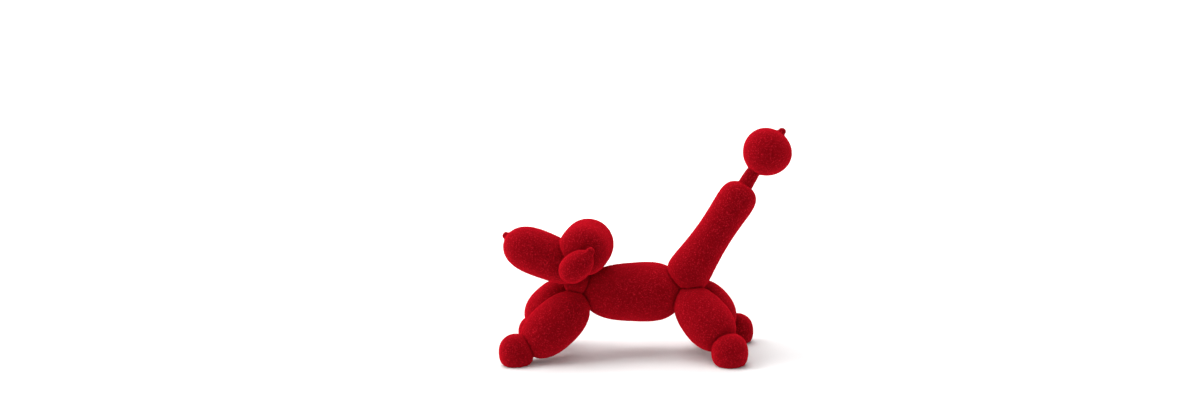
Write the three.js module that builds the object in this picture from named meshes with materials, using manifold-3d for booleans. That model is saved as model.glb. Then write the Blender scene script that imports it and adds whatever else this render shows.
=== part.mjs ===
// Balloon poodle ornament: one flocked casting in the shape of a twisted balloon dog.
// Millimetres, +Z up, standing on Z = 0. The dog looks along -X and its left side faces -Y.

import * as THREE from "three";
import { mergeVertices } from "three/addons/utils/BufferGeometryUtils.js";
import Module from "manifold-3d";

// Bubble forms. fullness 2 is an ellipse and more is squarer, egg swells the far end,
// waist thins the middle, and steps is the number of facet rows from end to end.
const MUZZLE = { radius: 17.8, fullness: 2.9, egg: 0.095, steps: 12 };
const CROWN = { radius: 20.2, fullness: 3.6, steps: 12 };
const EAR = { radius: 10.7, fullness: 2.15, egg: -0.1, steps: 11 };
const NECK = { radius: 10.9, fullness: 2.7, steps: 10 };
const FRONT_LEG = { radius: 19.1, fullness: 2.45, egg: 0.02, steps: 12 };
const BODY = { radius: 23, fullness: 3.1, egg: 0.1, steps: 13 };
const REAR_LEG = { radius: 18.7, fullness: 2.3, egg: 0.08, steps: 12 };
const TWIST = { radius: 8.5, fullness: 2.4, steps: 8 };
const TAIL = { radius: 14.1, fullness: 6.5, egg: -0.12, waist: 0.37, steps: 16 };
const STEM = { radius: 5.7, fullness: 6, egg: -0.08, steps: 8 };
const POMPON = { radius: 18.7, fullness: 2, egg: 0.06, steps: 12 };
const KNOT = { radius: 2.7, fullness: 2.5, egg: 0.25, steps: 6 };
const NIPPLE = { radius: 3.1, fullness: 2.5, egg: 0.2, steps: 6 };

// Where each bubble of the balloon starts and ends.
const BUBBLES = {
  muzzle: { form: MUZZLE, from: [-44.9, -7.0, 65.5], to: [-111.2, -8.8, 93.7] },
  muzzleKnot: { form: KNOT, from: [-106.6, -8.8, 94.7], to: [-112.3, -8.8, 98.4] },
  crown: { form: CROWN, from: [-50.1, -27.2, 81.0], to: [-44.1, 16.8, 91.2] },
  leftEar: { form: EAR, from: [-62.9, -26.4, 65.4], to: [-39.5, -32.0, 84.0] },
  leftEarNipple: { form: NIPPLE, from: [-44.4, -31.0, 79.6], to: [-38.0, -33.2, 88.8] },
  rightEar: { form: EAR, from: [-59.8, 15.3, 66.4], to: [-37.6, 20.0, 90.1] },
  rightEarNipple: { form: NIPPLE, from: [-41.8, 19.1, 85.0], to: [-35.8, 20.6, 94.3] },
  neck: { form: NECK, from: [-56.2, -14.4, 58.4], to: [-56.2, 18.4, 58.4] },
  leftFrontLeg: { form: FRONT_LEG, from: [-49.5, -6.6, 46.0], to: [-95.0, -26.1, 8.4] },
  rightFrontLeg: { form: FRONT_LEG, from: [-58.8, 8.6, 52.0], to: [-100.5, 27.3, 17.1] },
  body: { form: BODY, from: [-53.8, 3.0, 48.1], to: [27.0, 8.1, 47.4] },
  leftRearLeg: { form: REAR_LEG, from: [25.8, 5.0, 48.0], to: [59.5, -29.6, 13.2] },
  rightRearLeg: { form: REAR_LEG, from: [33.5, 3.3, 52.0], to: [58.9, 33.0, 11.5] },
  hipTwist: { form: TWIST, from: [27.5, -4.0, 50.0], to: [28.5, 16.0, 50.0] },
  tail: { form: TAIL, from: [24.1, 1.2, 52.6], to: [78.6, 10.8, 129.7] },
  tailStem: { form: STEM, from: [70.6, 8.6, 118.7], to: [86.2, 12.0, 143.0] },
  tailPompon: { form: POMPON, from: [82.8, 12.8, 141.0], to: [106.9, 10.3, 167.9] },
  tailKnot: { form: KNOT, from: [104.2, 10.7, 166.2], to: [108.2, 10.5, 172.2] },
};

// Pompon feet: squat balls with a flat sole.
const FOOT_HEIGHT = 22.9;
const FOOT_WIDEST = 0.4;
const SOLE_SHARE = 0.7;
const FOOT_FULLNESS = 2.3;
const FRONT_FOOT_RADIUS = 13.4;
const REAR_FOOT_RADIUS = 13.4;
const FEET = [
  { radius: FRONT_FOOT_RADIUS, at: [-100.8, -30.5] },
  { radius: FRONT_FOOT_RADIUS, at: [-100.5, 33.3] },
  { radius: REAR_FOOT_RADIUS, at: [61.2, -33.4] },
  { radius: REAR_FOOT_RADIUS, at: [68.5, 33.4] },
];

// How finely the rounds are cut into facets.
const FEWEST_SIDES = 9;
const SIDES_PER_MM = 0.75;
const FOOT_STEPS = 4;

const FLOCK_RED = 0x8c0610;

const wasm = await Module();
wasm.setup();

function sidesFor(radius) {
  return Math.round(FEWEST_SIDES + radius * SIDES_PER_MM);
}

// Profile of a bubble from its start to its end, closer points where it turns in.
function bubbleProfile({ radius, fullness, egg = 0, waist = 0, steps }, half) {
  const points = [new THREE.Vector2(0, -half)];
  for (let step = 1; step < steps; step += 1) {
    const along = -Math.cos((Math.PI * step) / steps);
    const round = Math.sqrt(1 - Math.abs(along) ** fullness);
    const swell = 1 + egg * along + waist * along ** 2;
    points.push(new THREE.Vector2(radius * round * swell, half * along));
  }
  points.push(new THREE.Vector2(0, half));
  return points;
}

// Profile of a foot: flat sole, rounded lower edge, domed top.
function footProfile(radius) {
  const sole = radius * SOLE_SHARE;
  const widest = FOOT_HEIGHT * FOOT_WIDEST;
  const dome = FOOT_HEIGHT - widest;
  const points = [new THREE.Vector2(0, 0)];
  for (let step = 0; step < FOOT_STEPS; step += 1) {
    const turn = (Math.PI / 2) * (step / FOOT_STEPS);
    points.push(new THREE.Vector2(
      sole + (radius - sole) * Math.sin(turn),
      widest * (1 - Math.cos(turn)),
    ));
  }
  for (let step = 0; step < FOOT_STEPS; step += 1) {
    const turn = (Math.PI / 2) * (step / FOOT_STEPS);
    points.push(new THREE.Vector2(
      radius * Math.cos(turn) ** (2 / FOOT_FULLNESS),
      widest + dome * Math.sin(turn) ** (2 / FOOT_FULLNESS),
    ));
  }
  points.push(new THREE.Vector2(0, FOOT_HEIGHT));
  return points;
}

// A turned shape whose profile axis runs from one point towards another.
function turned(profile, sides, centre, direction) {
  const geometry = new THREE.LatheGeometry(profile, sides);
  const lean = new THREE.Quaternion().setFromUnitVectors(new THREE.Vector3(0, 1, 0), direction);
  geometry.applyQuaternion(lean);
  geometry.translate(centre.x, centre.y, centre.z);
  return geometry;
}

function bubbleGeometry({ form, from, to }) {
  const start = new THREE.Vector3(...from);
  const end = new THREE.Vector3(...to);
  const direction = end.clone().sub(start).normalize();
  const centre = start.clone().add(end).multiplyScalar(0.5);
  const profile = bubbleProfile(form, start.distanceTo(end) / 2);
  return turned(profile, sidesFor(form.radius), centre, direction);
}

function footGeometry({ radius, at }) {
  const ground = new THREE.Vector3(...at, 0);
  return turned(footProfile(radius), sidesFor(radius), ground, new THREE.Vector3(0, 0, 1));
}

// A closed solid from a turned shape, without the flat triangles at its poles.
function solidOf(geometry) {
  geometry.deleteAttribute("normal");
  geometry.deleteAttribute("uv");
  const merged = mergeVertices(geometry);
  const corners = merged.index.array;
  const kept = [];
  for (let first = 0; first < corners.length; first += 3) {
    const [a, b, c] = corners.slice(first, first + 3);
    if (a !== b && b !== c && c !== a) {
      kept.push(a, b, c);
    }
  }
  return new wasm.Manifold(new wasm.Mesh({
    numProp: 3,
    vertProperties: new Float32Array(merged.attributes.position.array),
    triVerts: new Uint32Array(kept),
  }));
}

function geometryOf(solid) {
  const mesh = solid.getMesh();
  const geometry = new THREE.BufferGeometry();
  geometry.setAttribute("position", new THREE.BufferAttribute(mesh.vertProperties, 3));
  geometry.setIndex(new THREE.BufferAttribute(mesh.triVerts, 1));
  geometry.computeVertexNormals();
  return geometry;
}

const shapes = [
  ...Object.values(BUBBLES).map(bubbleGeometry),
  ...FEET.map(footGeometry),
];
const casting = shapes.map(solidOf).reduce((whole, solid) => whole.add(solid));

const flock = new THREE.MeshStandardMaterial({ color: FLOCK_RED, roughness: 1, metalness: 0 });
const poodle = new THREE.Mesh(geometryOf(casting), flock);
poodle.name = "balloon_poodle";

const ornament = new THREE.Group();
ornament.add(poodle);

export default ornament;
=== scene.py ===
# %% [markdown]
# # A flocked balloon poodle
#
# The ornament has the shape of a twisted balloon dog. It looks like one casting, brushed with glue and
# dusted with short red fibres. That finish is called flock, and it makes the dog look cut from velvet.
# This lesson blows the bubbles one by one, melts them into a single skin, raises the nap, and then
# mixes a flock material, a studio and the light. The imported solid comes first, because everything
# here has to sit exactly where that solid is.

import math

import bpy
import numpy as np
from mathutils import Matrix, Vector, noise


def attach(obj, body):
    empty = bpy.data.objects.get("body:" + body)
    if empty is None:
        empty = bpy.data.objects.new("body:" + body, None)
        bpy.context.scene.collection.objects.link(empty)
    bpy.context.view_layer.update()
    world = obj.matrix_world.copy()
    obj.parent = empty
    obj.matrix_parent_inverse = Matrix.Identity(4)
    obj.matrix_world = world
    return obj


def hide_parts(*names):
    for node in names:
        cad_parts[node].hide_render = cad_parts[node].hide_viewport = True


MM = 0.001

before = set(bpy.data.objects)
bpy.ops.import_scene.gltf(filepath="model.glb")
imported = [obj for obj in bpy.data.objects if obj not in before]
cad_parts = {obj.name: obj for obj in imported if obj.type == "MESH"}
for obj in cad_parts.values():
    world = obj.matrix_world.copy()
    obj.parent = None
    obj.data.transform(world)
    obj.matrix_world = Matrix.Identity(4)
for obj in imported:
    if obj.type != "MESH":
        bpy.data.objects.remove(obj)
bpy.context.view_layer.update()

# %% [markdown]
# ## The camera
#
# The picture shows the dog from its left side, a little from above and a little from behind its
# shoulder. The camera could be shifted to place the dog low and right of the middle, but a shift
# stays on in every other view, so here the whole camera is aimed past the dog instead. One point in
# the middle of the dog has to land on one pixel of the picture, and the aim follows from that.

# %% Camera
PICTURE_WIDTH = 1200
PICTURE_HEIGHT = 400
SENSOR_WIDTH = 36.0
FOCAL_PIXELS = 807.5
MIDDLE = Vector((-13.0, 1.6, 61.6)) * MM
MIDDLE_PIXEL = (631.3, 275.9)
AZIMUTH = math.radians(5.78)
ELEVATION = math.radians(9.83)
ROLL = math.radians(-1.98)
DISTANCE = 640.6 * MM

back = Vector((
    math.sin(AZIMUTH) * math.cos(ELEVATION),
    -math.cos(AZIMUTH) * math.cos(ELEVATION),
    math.sin(ELEVATION),
))
level = Vector((math.cos(AZIMUTH), math.sin(AZIMUTH), 0.0))
upright = back.cross(level)
right = math.cos(ROLL) * level + math.sin(ROLL) * upright
up = math.cos(ROLL) * upright - math.sin(ROLL) * level
aim_right = (PICTURE_WIDTH / 2 - MIDDLE_PIXEL[0]) / FOCAL_PIXELS
aim_up = (MIDDLE_PIXEL[1] - PICTURE_HEIGHT / 2) / FOCAL_PIXELS
ahead = (aim_right * right + aim_up * up - back).normalized()
picture_right = ahead.cross(up).normalized()
picture_up = picture_right.cross(ahead)

camera = bpy.data.objects.new("camera", bpy.data.cameras.new("camera"))
bpy.context.collection.objects.link(camera)
camera.data.sensor_width = SENSOR_WIDTH
camera.data.lens = FOCAL_PIXELS * SENSOR_WIDTH / PICTURE_WIDTH
turn = Matrix((picture_right, picture_up, -ahead)).transposed()
camera.matrix_world = Matrix.Translation(MIDDLE + DISTANCE * back) @ turn.to_4x4()
bpy.context.scene.camera = camera
print("lens in mm:", round(camera.data.lens, 1))

# %% [markdown]
# ## One bubble
#
# A balloon twister makes every part of the dog from the same thing: a stretch of balloon, pinched at
# both ends. So one function can make them all. A sphere primitive could be stretched, but its ends
# would always be ellipses. A turned profile lets each bubble be fuller or slimmer: fullness 2 is an
# ellipse and more is squarer, egg swells the far end, and waist thins the middle.

# %% Turning a profile
SIDES = 80
STEPS = 48
skins = []
creased = []


def turned(profile, foot, axis):
    """Turns (radius, height) pairs, the first and last on the axis, round an axis through foot."""
    across = axis.orthogonal().normalized()
    beside = axis.cross(across)
    points = [foot + profile[0][1] * axis]
    for radius, height in profile[1:-1]:
        for side in range(SIDES):
            angle = 2 * math.pi * side / SIDES
            spoke = math.cos(angle) * across + math.sin(angle) * beside
            points.append(foot + height * axis + radius * spoke)
    points.append(foot + profile[-1][1] * axis)
    rings = len(profile) - 2
    last = len(points) - 1
    faces = []
    for side in range(SIDES):
        after = (side + 1) % SIDES
        faces.append((0, 1 + after, 1 + side))
        for ring in range(rings - 1):
            low = 1 + ring * SIDES
            high = low + SIDES
            faces.append((low + side, low + after, high + after, high + side))
        top = 1 + (rings - 1) * SIDES
        faces.append((top + side, top + after, last))
    return points, faces


def bubble(start, end, radius, fullness, egg=0.0, waist=0.0, crease=True):
    """Adds a bubble between two points, in millimetres; without a crease it blends into the others."""
    start = Vector(start)
    reach = Vector(end) - start
    profile = []
    for step in range(STEPS + 1):
        along = -math.cos(math.pi * step / STEPS)
        fall = math.sqrt(max(0.0, 1 - abs(along) ** fullness))
        swell = 1 + egg * along + waist * along ** 2
        profile.append((radius * fall * swell, reach.length * (1 + along) / 2))
    axis = reach.normalized()
    skins.append(turned(profile, start, axis))
    if crease:
        creased.append((np.array(profile), np.array(start), np.array(axis)))


# %% [markdown]
# ## The head
#
# The muzzle is a fat egg with the balloon's tied knot at its tip. The crown is a cushion that lies
# across the head, and the ears are two small bubbles with the pinched tip of the balloon still on
# them. The neck is a short twist, turned sideways, that carries all of it.

# %% Head
MUZZLE = dict(radius=17.8, fullness=2.9, egg=0.095)
KNOT = dict(radius=2.7, fullness=2.5, egg=0.25)
CROWN = dict(radius=20.2, fullness=3.6)
EAR = dict(radius=10.7, fullness=2.15, egg=-0.1)
EAR_TIP = dict(radius=3.1, fullness=2.5, egg=0.2, crease=False)
NECK = dict(radius=10.9, fullness=2.7)

bubble((-44.9, -7.0, 65.5), (-111.2, -8.8, 93.7), **MUZZLE)
bubble((-106.6, -8.8, 94.7), (-112.3, -8.8, 98.4), **KNOT)
bubble((-50.1, -27.2, 81.0), (-44.1, 16.8, 91.2), **CROWN)
bubble((-62.9, -26.4, 65.4), (-39.5, -32.0, 84.0), **EAR)
bubble((-44.4, -31.0, 79.6), (-38.0, -33.2, 88.8), **EAR_TIP)
bubble((-59.8, 15.3, 66.4), (-37.6, 20.0, 90.1), **EAR)
bubble((-41.8, 19.1, 85.0), (-35.8, 20.6, 94.3), **EAR_TIP)
bubble((-56.2, -14.4, 58.4), (-56.2, 18.4, 58.4), **NECK)
print("head bubbles:", len(skins))

# %% [markdown]
# ## Body and legs
#
# The body is one long bubble, and the four thighs are twisted off it in two pairs that splay out to
# the sides. On the real one no two legs are quite alike, so each has its own two end points. The last
# bubble is the small hidden twist at the hip that locks body, legs and tail together.

# %% Body and legs
BODY = dict(radius=23.0, fullness=3.1, egg=0.1)
FRONT_LEG = dict(radius=19.1, fullness=2.45, egg=0.02)
REAR_LEG = dict(radius=18.7, fullness=2.3, egg=0.08)
HIP_TWIST = dict(radius=8.5, fullness=2.4)

bubble((-53.8, 3.0, 48.1), (27.0, 8.1, 47.4), **BODY)
bubble((-49.5, -6.6, 46.0), (-95.0, -26.1, 8.4), **FRONT_LEG)
bubble((-58.8, 8.6, 52.0), (-100.5, 27.3, 17.1), **FRONT_LEG)
bubble((25.8, 5.0, 48.0), (59.5, -29.6, 13.2), **REAR_LEG)
bubble((33.5, 3.3, 52.0), (58.9, 33.0, 11.5), **REAR_LEG)
bubble((27.5, -4.0, 50.0), (28.5, 16.0, 50.0), **HIP_TWIST)
print("with body and legs:", len(skins))

# %% [markdown]
# ## Pompon feet
#
# A poodle's clip leaves a pompon at each foot. They are squat balls with a flat sole, so that the
# ornament stands without rocking. The lower part of the profile is a quarter round that runs in to
# the sole, and the upper part is a dome.

# %% Feet
FOOT_HEIGHT = 22.9
FOOT_WIDEST = 0.4 * FOOT_HEIGHT
FOOT_FULLNESS = 2.3
FOOT_RADIUS = 13.4
SOLE_RADIUS = 0.7 * FOOT_RADIUS
FOOT_STEPS = 16


def pompon_foot(x, y):
    """Adds a foot that stands on the floor at x, y, in millimetres."""
    profile = [(0.0, 0.0)]
    for step in range(FOOT_STEPS):
        angle = math.pi / 2 * step / FOOT_STEPS
        width = SOLE_RADIUS + (FOOT_RADIUS - SOLE_RADIUS) * math.sin(angle)
        profile.append((width, FOOT_WIDEST * (1 - math.cos(angle))))
    for step in range(FOOT_STEPS):
        angle = math.pi / 2 * step / FOOT_STEPS
        width = FOOT_RADIUS * math.cos(angle) ** (2 / FOOT_FULLNESS)
        rise = (FOOT_HEIGHT - FOOT_WIDEST) * math.sin(angle) ** (2 / FOOT_FULLNESS)
        profile.append((width, FOOT_WIDEST + rise))
    profile.append((0.0, FOOT_HEIGHT))
    ground = Vector((x, y, 0.0))
    upwards = Vector((0.0, 0.0, 1.0))
    skins.append(turned(profile, ground, upwards))
    creased.append((np.array(profile), np.array(ground), np.array(upwards)))


pompon_foot(-100.8, -30.5)
pompon_foot(-100.5, 33.3)
pompon_foot(61.2, -33.4)
pompon_foot(68.5, 33.4)
print("with feet:", len(skins))

# %% [markdown]
# ## The tail
#
# The tail is a straight stretch of balloon with a slight waist. A thin stem of almost empty balloon
# leads to the pompon at its end, where the last bit of balloon makes another small knot.

# %% Tail
TAIL = dict(radius=14.1, fullness=6.5, egg=-0.12, waist=0.37)
STEM = dict(radius=5.7, fullness=6.0, egg=-0.08)
POMPON = dict(radius=18.7, fullness=2.0, egg=0.06)

bubble((24.1, 1.2, 52.6), (78.6, 10.8, 129.7), **TAIL)
bubble((70.6, 8.6, 118.7), (86.2, 12.0, 143.0), **STEM)
bubble((82.8, 12.8, 141.0), (106.9, 10.3, 167.9), **POMPON)
bubble((104.2, 10.7, 166.2), (108.2, 10.5, 172.2), **KNOT)
print("all bubbles:", len(skins))

# %% [markdown]
# ## One skin
#
# The casting has no seams: where two bubbles meet there is a crease, but it is the same surface. A
# chain of boolean joins could do that, and it would leave long thin triangles along every crease. A
# voxel remesh does the same in one go, with even little squares all over, which the nap needs later.

# %% Melting the bubbles together
VOXEL = 1.05 * MM


def mesh_of(name, parts):
    """One mesh from several (points, faces) shapes in millimetres."""
    points = []
    faces = []
    for part_points, part_faces in parts:
        first = len(points)
        points.extend(MM * point for point in part_points)
        faces.extend(tuple(first + corner for corner in face) for face in part_faces)
    mesh = bpy.data.meshes.new(name)
    mesh.from_pydata(points, [], faces)
    return mesh


poodle = bpy.data.objects.new("poodle_flock", mesh_of("bubbles", skins))
bpy.context.collection.objects.link(poodle)
melt = poodle.modifiers.new("melt", "REMESH")
melt.mode = "VOXEL"
melt.voxel_size = VOXEL
evaluated = poodle.evaluated_get(bpy.context.evaluated_depsgraph_get())
skin = bpy.data.meshes.new_from_object(evaluated)
skin.name = "poodle_flock"
poodle.modifiers.clear()
poodle.data = skin
print("skin:", len(skin.vertices), "points,", len(skin.polygons), "faces")

# %% [markdown]
# ## Smoothing
#
# The remesh leaves faint steps, one voxel high. A Smooth modifier could take them away, but the next
# steps move single points by their own amounts, so the points go into numpy arrays here and a small
# function does the smoothing. Each point goes halfway to the mean of its neighbours, and then almost
# all the way back. That takes the steps out, and the small knots do not shrink.

# %% Smoothing the voxel steps
STEP_ROUNDS = 6
EASE = 0.5
UNEASE = 0.45

edges = np.empty(2 * len(skin.edges), np.int32)
skin.edges.foreach_get("vertices", edges)
edges = edges.reshape(-1, 2)
places = np.empty(3 * len(skin.vertices), np.float32)
skin.vertices.foreach_get("co", places)
places = places.reshape(-1, 3).astype(np.float64)
links = np.bincount(edges.ravel(), minlength=len(places))


def neighbour_mean(values):
    """The mean of each point's neighbours, for one number or one vector a point."""
    columns = values.reshape(len(values), -1)
    total = np.empty_like(columns)
    for column in range(columns.shape[1]):
        number = columns[:, column]
        total[:, column] = np.bincount(edges[:, 0], number[edges[:, 1]], len(values))
        total[:, column] += np.bincount(edges[:, 1], number[edges[:, 0]], len(values))
    return (total / links[:, None]).reshape(values.shape)


def smoothed(values, rounds):
    """The values after some rounds of easing towards the neighbours' mean and almost back again."""
    for _ in range(rounds):
        values = values + EASE * (neighbour_mean(values) - values)
        values = values - UNEASE * (neighbour_mean(values) - values)
    return values


def normals_of(mesh, points):
    """Puts the points in the mesh and returns its point normals."""
    mesh.vertices.foreach_set("co", points.astype(np.float32).ravel())
    mesh.update()
    found = np.empty(3 * len(points), np.float32)
    mesh.vertex_normals.foreach_get("vector", found)
    return found.reshape(-1, 3).astype(np.float64)


places = smoothed(places, STEP_ROUNDS)
print("smoothed points:", len(places))

# %% [markdown]
# ## Creases
#
# At a twist the balloon pulls in tight, so every crease on the dog is a narrow dark valley with round
# shoulders. A sculptor would draw them in with the crease brush. Here they can be worked out: a point
# of the skin lies on one bubble, and in a crease it also lies close to a second one. So each point's
# distance to every bubble is measured, in the plane of the bubble's own profile, and the second
# smallest distance is the point's way to the nearest crease. Close to zero, the point is pressed in.
# A knot is small, so the crease round it is made narrower and shallower than the one at a leg.

# %% Pressing in the creases
# Lengths in millimetres.
REACH = 6.0
CREASE_DEPTH = 1.3
CREASE_WIDTH = 1.4
SHADE_WIDTH = 2.2
FULL_CREASE_RADIUS = 13.0
SHOULDER_ROUNDS = 1


def distance_to_profile(points, profile):
    """The distance in a half plane from (radius, height) points to a profile's nearest stretch."""
    nearest = np.full(len(points), np.inf)
    for start, end in zip(profile[:-1], profile[1:]):
        stretch = end - start
        share = np.clip((points - start) @ stretch / (stretch @ stretch), 0.0, 1.0)
        away = points - start - share[:, None] * stretch
        nearest = np.minimum(nearest, np.hypot(away[:, 0], away[:, 1]))
    return nearest


first = np.full(len(places), np.inf)
second = np.full(len(places), REACH)
first_scale = np.ones(len(places))
second_scale = np.ones(len(places))
for profile, foot, axis in creased:
    widest = profile[:, 0].max()
    bubble_scale = min(1.0, widest / FULL_CREASE_RADIUS)
    from_foot = places / MM - foot
    height = from_foot @ axis
    radius = np.linalg.norm(from_foot - height[:, None] * axis, axis=1)
    near = (radius < widest + REACH) & (height > -REACH) & (height < profile[-1, 1] + REACH)
    gap = np.full(len(places), np.inf)
    gap[near] = distance_to_profile(np.stack([radius[near], height[near]], axis=1), profile)
    is_first = gap < first
    is_second = ~is_first & (gap < second)
    second_scale = np.where(is_first, first_scale, np.where(is_second, bubble_scale, second_scale))
    second = np.where(is_first, np.minimum(first, REACH), np.where(is_second, gap, second))
    first_scale = np.where(is_first, bubble_scale, first_scale)
    first = np.where(is_first, gap, first)

crease_scale = np.minimum(first_scale, second_scale)
normals = normals_of(skin, places)
press = CREASE_DEPTH * crease_scale * np.exp(-(second / (CREASE_WIDTH * crease_scale)) ** 2)
places -= MM * press[:, None] * normals
places = smoothed(places, SHOULDER_ROUNDS)
# This is painted shade: the flock material darkens its colour towards black by it in the creases.
shade = np.exp(-(second / (SHADE_WIDTH * crease_scale)) ** 2)
crease = skin.attributes.new("crease", "FLOAT", "POINT")
crease.data.foreach_set("value", shade.astype(np.float32))
print("points in creases:", int(np.sum(second < CREASE_WIDTH)))

# %% [markdown]
# ## The nap
#
# The fibres stand about a quarter of a millimetre off the casting, and they never stand perfectly even.
# A Displace modifier with a clouds texture could lift the skin, but moving the points here keeps the
# soles flat on the floor in the same step. The relief itself is a tenth of a millimetre: enough to
# break up the outline and to show in the mesh, and no more.

# %% Raising the nap
FLOCK_THICKNESS = 0.25 * MM
NAP_DEPTH = 0.10 * MM
NAP_PITCH = 2.1 * MM
SOLE_DEPTH = 0.5 * MM

normals = normals_of(skin, places)
lift = np.array([noise.noise(Vector(place) / NAP_PITCH) for place in places])
places += (FLOCK_THICKNESS + NAP_DEPTH * lift[:, None]) * normals
places[:, 2] -= places[:, 2].min()
places[places[:, 2] < SOLE_DEPTH, 2] = 0.0
normals_of(skin, places)
for face in skin.polygons:
    face.use_smooth = True
deepest, highest = NAP_DEPTH / MM * np.array([lift.min(), lift.max()])
print("nap from", round(deepest, 3), "to", round(highest, 3), "mm")

# %% [markdown]
# ## The flock
#
# Seen straight on, light falls between the fibres and is lost, so the middle of each bubble is a deep
# red. Seen along the surface, the fibres' sides catch it, so the edges glow a lighter, pinker red.
# The sheen of the Principled shader does exactly that, and it answers to the lights. Three noises
# vary the colour: wide patches where the nap leans another way, tufts a millimetre or two across, and
# the pale tips of single fibres. In the creases the colour is painted almost black: painted shade,
# standing in for light that gets in between two bubbles and hardly gets out again.

# %% Flock material
DEEP_RED = (0.054, 0.0002, 0.0005, 1.0)
BRIGHT_RED = (0.110, 0.0004, 0.0012, 1.0)
TIP_RED = (0.390, 0.009, 0.018, 1.0)
# Painted shade: the near-black colour that the creases are darkened towards.
PAINTED_SHADE_RED = (0.012, 0.0001, 0.0002, 1.0)
SHEEN_RED = (1.0, 0.011, 0.029, 1.0)
SHEEN_WEIGHT = 0.75
SHEEN_ROUGHNESS = 0.8
TUFT_GRAIN = dict(scale=520.0, detail=3.0)
TIP_GRAIN = dict(scale=1000.0, detail=1.0)
LEAN_GRAIN = dict(scale=55.0, detail=2.0)
LEAN_SHARE = 0.4
DEEP_UP_TO = 0.36
BRIGHT_FROM = 0.64
TIPS_FROM = 0.53
TIPS_FULL = 0.72
FIBRE_HEIGHT = 0.45 * MM
FIBRE_STRENGTH = 0.8
# A Mix node keeps its colour sockets behind those for numbers and vectors.
MIX_FIRST = 6
MIX_SECOND = 7
MIX_RESULT = 2


def flock_material():
    """Red flock: matte, with sheen at the edges, a grain of fibre tips, and painted shade in the
    creases.
    """
    material = bpy.data.materials.new("red_flock")
    material.use_nodes = True
    nodes = material.node_tree.nodes
    wire = material.node_tree.links.new
    shader = nodes["Principled BSDF"]
    shader.inputs["Roughness"].default_value = 1.0
    shader.inputs["Diffuse Roughness"].default_value = 1.0
    shader.inputs["Specular IOR Level"].default_value = 0.0
    shader.inputs["Sheen Weight"].default_value = SHEEN_WEIGHT
    shader.inputs["Sheen Roughness"].default_value = SHEEN_ROUGHNESS
    shader.inputs["Sheen Tint"].default_value = SHEEN_RED
    place = nodes.new("ShaderNodeTexCoord")

    def grain(scale, detail):
        """A noise over the object's own space, in waves per metre."""
        texture = nodes.new("ShaderNodeTexNoise")
        texture.inputs["Scale"].default_value = scale
        texture.inputs["Detail"].default_value = detail
        wire(place.outputs["Object"], texture.inputs["Vector"])
        return texture.outputs["Fac"]

    tufts = grain(**TUFT_GRAIN)
    tips = grain(**TIP_GRAIN)
    leans = grain(**LEAN_GRAIN)

    mixed = nodes.new("ShaderNodeMix")
    mixed.inputs["Factor"].default_value = LEAN_SHARE
    wire(tufts, mixed.inputs["A"])
    wire(leans, mixed.inputs["B"])
    reds = nodes.new("ShaderNodeValToRGB")
    deep, bright = reds.color_ramp.elements
    deep.position = DEEP_UP_TO
    deep.color = DEEP_RED
    bright.position = BRIGHT_FROM
    bright.color = BRIGHT_RED
    wire(mixed.outputs["Result"], reds.inputs["Fac"])

    speck = nodes.new("ShaderNodeMapRange")
    speck.inputs["From Min"].default_value = TIPS_FROM
    speck.inputs["From Max"].default_value = TIPS_FULL
    wire(tips, speck.inputs["Value"])
    dusted = nodes.new("ShaderNodeMix")
    dusted.data_type = "RGBA"
    wire(speck.outputs["Result"], dusted.inputs["Factor"])
    wire(reds.outputs["Color"], dusted.inputs[MIX_FIRST])
    dusted.inputs[MIX_SECOND].default_value = TIP_RED

    # Painted shade: the crease attribute darkens the colour towards black in the creases.
    painted_shade_mask = nodes.new("ShaderNodeAttribute")
    painted_shade_mask.attribute_name = "crease"
    shaded = nodes.new("ShaderNodeMix")
    shaded.data_type = "RGBA"
    wire(painted_shade_mask.outputs["Fac"], shaded.inputs["Factor"])
    wire(dusted.outputs[MIX_RESULT], shaded.inputs[MIX_FIRST])
    shaded.inputs[MIX_SECOND].default_value = PAINTED_SHADE_RED
    wire(shaded.outputs[MIX_RESULT], shader.inputs["Base Color"])

    bump = nodes.new("ShaderNodeBump")
    bump.inputs["Strength"].default_value = FIBRE_STRENGTH
    bump.inputs["Distance"].default_value = FIBRE_HEIGHT
    wire(tips, bump.inputs["Height"])
    wire(bump.outputs["Normal"], shader.inputs["Normal"])
    return material


skin.materials.clear()
skin.materials.append(flock_material())
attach(poodle, "root")
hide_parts("balloon_poodle")
print("flocked:", poodle.name, "with", skin.materials[0].name)

# %% [markdown]
# ## The studio
#
# The ornament stands on pale seamless paper. A flat plane would show a horizon behind the tail, and a
# wall on one side would get in the way of the other views, so the paper is a wide round dish: flat
# under the dog, then curving up all round. The paper also has a faint painted glow, an emission that
# lights it and keeps the dog's shadow pale.

# %% Paper dish
# Lengths in metres.
DISH_FLAT = 2.6
DISH_CURVE = 1.0
DISH_WALL = 1.2
DISH_SIDES = 96
FLAT_STEPS = 4
CURVE_STEPS = 16
PAPER_WHITE = (0.85, 0.85, 0.85, 1.0)
PAPER_ROUGHNESS = 0.9
PAPER_SHINE = 0.2
PAPER_PAINTED_GLOW = 0.02


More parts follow.
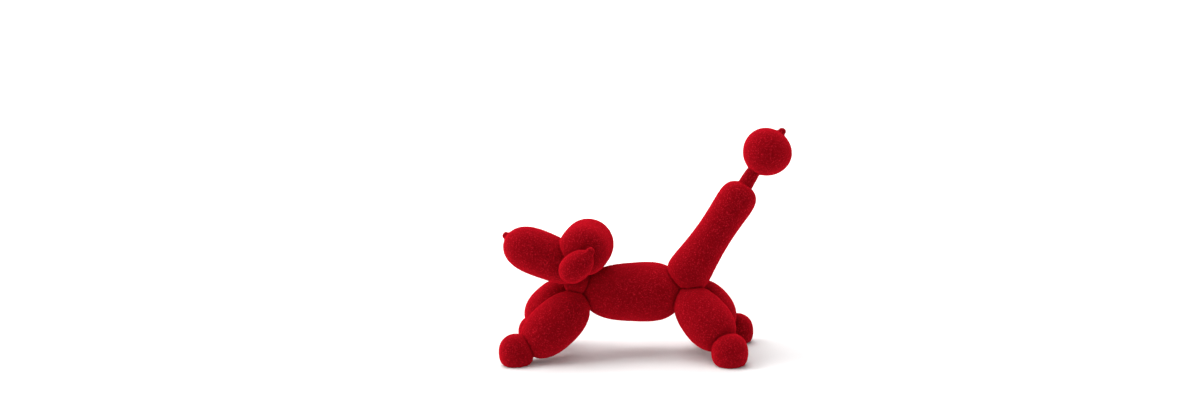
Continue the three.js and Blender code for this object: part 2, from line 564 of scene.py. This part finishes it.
def paper_dish():
    """A round floor that curves up into a low wall."""
    profile = [(DISH_FLAT * step / FLAT_STEPS, 0.0) for step in range(1, FLAT_STEPS + 1)]
    for step in range(1, CURVE_STEPS + 1):
        angle = math.pi / 2 * step / CURVE_STEPS
        outwards = DISH_FLAT + DISH_CURVE * math.sin(angle)
        profile.append((outwards, DISH_CURVE * (1 - math.cos(angle))))
    profile.append((DISH_FLAT + DISH_CURVE, DISH_CURVE + DISH_WALL))
    points = [(0.0, 0.0, 0.0)]
    for radius, height in profile:
        for side in range(DISH_SIDES):
            angle = 2 * math.pi * side / DISH_SIDES
            points.append((radius * math.cos(angle), radius * math.sin(angle), height))
    faces = []
    for side in range(DISH_SIDES):
        after = (side + 1) % DISH_SIDES
        faces.append((0, 1 + side, 1 + after))
        for ring in range(len(profile) - 1):
            low = 1 + ring * DISH_SIDES
            high = low + DISH_SIDES
            faces.append((low + side, high + side, high + after, low + after))
    mesh = bpy.data.meshes.new("paper_dish")
    mesh.from_pydata(points, [], faces)
    for face in mesh.polygons:
        face.use_smooth = True
    dish = bpy.data.objects.new("paper_dish", mesh)
    bpy.context.collection.objects.link(dish)
    return dish


def paper_material():
    """Matte pale paper with a faint painted glow."""
    material = bpy.data.materials.new("studio_paper")
    material.use_nodes = True
    shader = material.node_tree.nodes["Principled BSDF"]
    shader.inputs["Base Color"].default_value = PAPER_WHITE
    shader.inputs["Roughness"].default_value = PAPER_ROUGHNESS
    shader.inputs["Specular IOR Level"].default_value = PAPER_SHINE
    # Painted glow: the paper gives off a little light of its own, which pales the dog's shadow.
    shader.inputs["Emission Color"].default_value = PAPER_WHITE
    shader.inputs["Emission Strength"].default_value = PAPER_PAINTED_GLOW
    return material


dish = paper_dish()
dish.data.materials.append(paper_material())
print("paper dish:", round(2 * (DISH_FLAT + DISH_CURVE), 1), "m across")

# %% [markdown]
# ## The light
#
# In the picture the light comes from the left and from above: the left rim of the pompon and the top
# of the crown are the brightest, and still no rim is dark. Flock shines only where it turns away from
# the eye, so one lamp would leave half of the rims black. Several large soft lamps stand round the dog
# instead, the strongest at its head end and behind it. They are three metres away, so that the muzzle
# is hardly lit more than the tail. One more lamp looks away from the dog and only whitens the paper.

# %% Lamps and surroundings
LAMP_DISTANCE = 3.0
LAMP_SIZE = 2.2
# Name, azimuth and elevation in degrees, watts.
LAMPS = [
    ("left", -90, 40, 62.0),
    ("left_high", -90, 65, 24.0),
    ("left_front", -45, 40, 4.0),
    ("left_back", -135, 40, 4.0),
    ("front_high", 0, 65, 17.0),
    ("top", 0, 88, 12.0),
    ("back_high", 180, 65, 50.0),
]
BACKDROP_LAMP = Vector((-0.2, 1.2, 1.9))
BACKDROP_AIM = Vector((-0.3, 3.6, 0.7))
BACKDROP_WATTS = 50.0
SURROUND_WHITE = (1.0, 1.0, 1.0, 1.0)
SURROUND_STRENGTH = 0.02


def lamp(name, place, aim, watts):
    """A square soft lamp that points at a place."""
    light = bpy.data.lights.new(name, "AREA")
    light.size = LAMP_SIZE
    light.energy = watts
    holder = bpy.data.objects.new(name, light)
    holder.location = place
    holder.rotation_euler = (aim - place).to_track_quat("-Z", "Y").to_euler()
    bpy.context.collection.objects.link(holder)


for name, azimuth, elevation, watts in LAMPS:
    swing = math.radians(azimuth)
    rise = math.radians(elevation)
    outwards = math.cos(rise)
    away = Vector((math.sin(swing) * outwards, -math.cos(swing) * outwards, math.sin(rise)))
    lamp(name, MIDDLE + LAMP_DISTANCE * away, MIDDLE, watts)
lamp("backdrop", BACKDROP_LAMP, BACKDROP_AIM, BACKDROP_WATTS)
world = bpy.data.worlds.new("surroundings")
world.use_nodes = True
background = world.node_tree.nodes["Background"]
background.inputs["Color"].default_value = SURROUND_WHITE
background.inputs["Strength"].default_value = SURROUND_STRENGTH
bpy.context.scene.world = world
bpy.context.scene.view_settings.view_transform = "Standard"
all_watts = BACKDROP_WATTS + sum(watts for *_, watts in LAMPS)
print("lamps:", len(LAMPS) + 1, "with", all_watts, "W in all")
